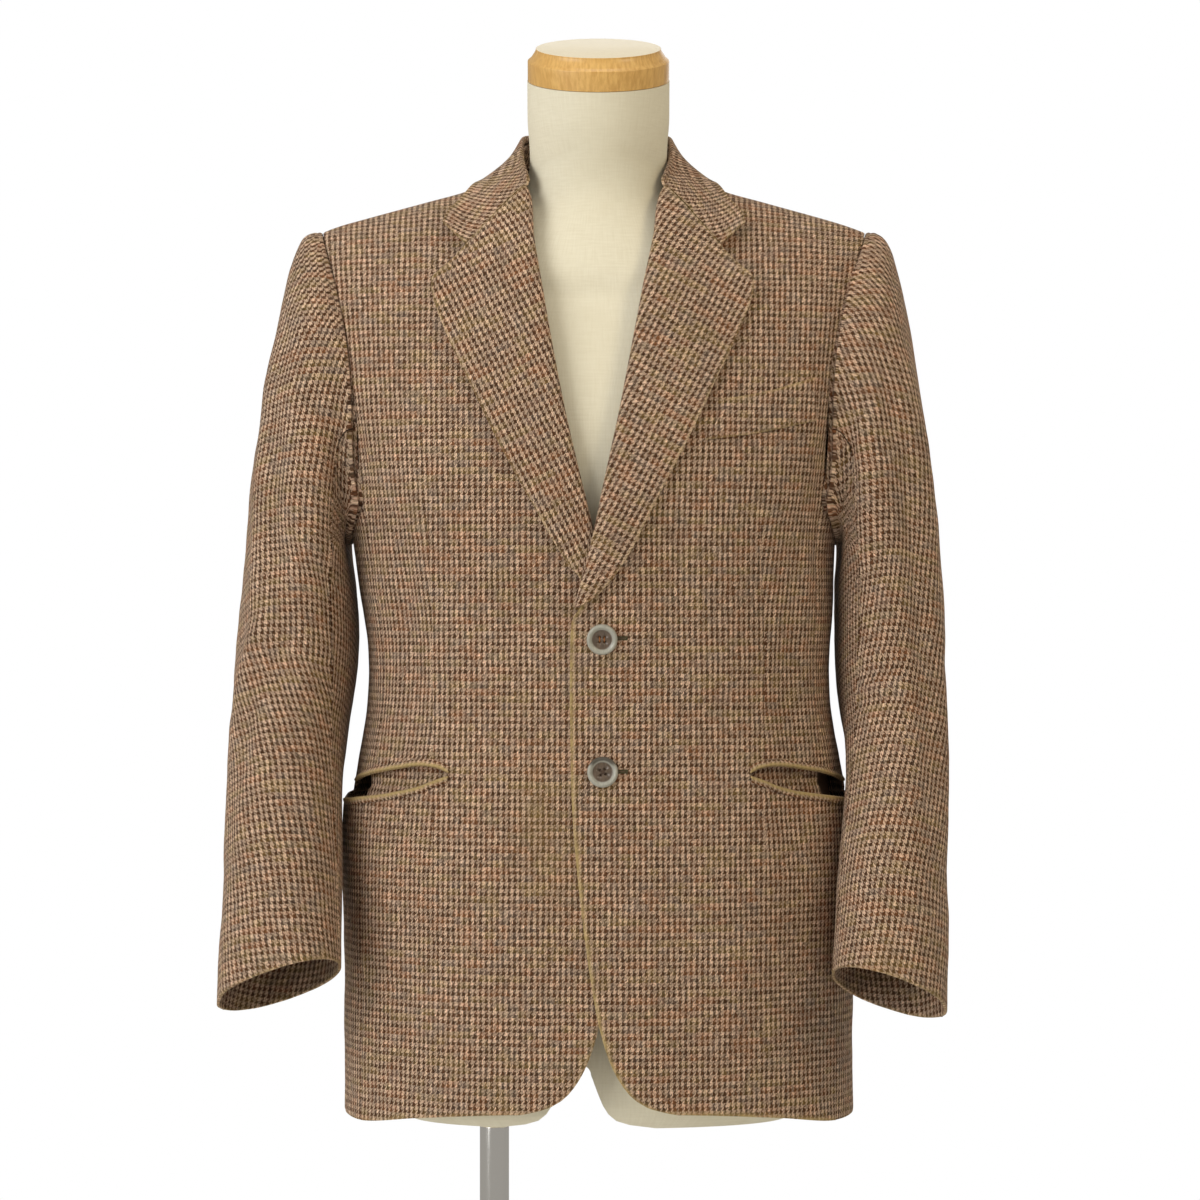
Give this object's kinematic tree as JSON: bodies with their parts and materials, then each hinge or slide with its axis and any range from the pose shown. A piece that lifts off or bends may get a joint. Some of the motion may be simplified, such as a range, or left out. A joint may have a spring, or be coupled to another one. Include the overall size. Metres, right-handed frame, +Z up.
{
  "type": "tweed hacking jacket on a dress form and stand",
  "caption": "Single-breasted tweed hacking jacket with notched lapels, slanted hip pockets and a breast welt, worn by a limbless dress form on a pole stand.",
  "frame": {"origin": "centre of the base plate's underside, where the stand rests on the floor", "axes": "+Z up, +X to the wearer's left, -Y to the wearer's front"},
  "size_m": [0.5503, 0.36, 1.4337],
  "materials": {
    "tweed": "brown and beige puppytooth wool tweed",
    "pocket_lining": "dark cotton",
    "horn": "grey horn, four holes",
    "dark_horn": "dark brown horn",
    "linen": "cream linen cover",
    "wood": "honey-coloured, satin",
    "chrome": "bright",
    "painted_steel": "off-white, satin"
  },
  "bodies": {
    "root": {"front_l": "tweed", "front_r": "tweed", "side_l": "tweed", "side_r": "tweed", "back_l": "tweed", "back_r": "tweed", "upper_sleeve_l": "tweed", "upper_sleeve_r": "tweed", "under_sleeve_l": "tweed", "under_sleeve_r": "tweed", "lapel_l": "tweed", "lapel_r": "tweed", "collar_fall": "tweed", "collar_stand": "tweed", "breast_welt": "tweed", "jet_upper_l": "tweed", "jet_upper_r": "tweed", "jet_lower_l": "tweed", "jet_lower_r": "tweed", "flap_l": "tweed", "flap_r": "tweed", "pocket_bag_l": "pocket_lining", "pocket_bag_r": "pocket_lining", "front_button_1": "horn", "front_button_2": "horn", "cuff_button_l_1": "dark_horn", "cuff_button_l_2": "dark_horn", "cuff_button_r_1": "dark_horn", "cuff_button_r_2": "dark_horn", "dress_form": "linen", "neck_cap": "wood", "pole_socket": "wood", "pole": "chrome", "base_plate": "painted_steel"}
  },
  "joints": []
}
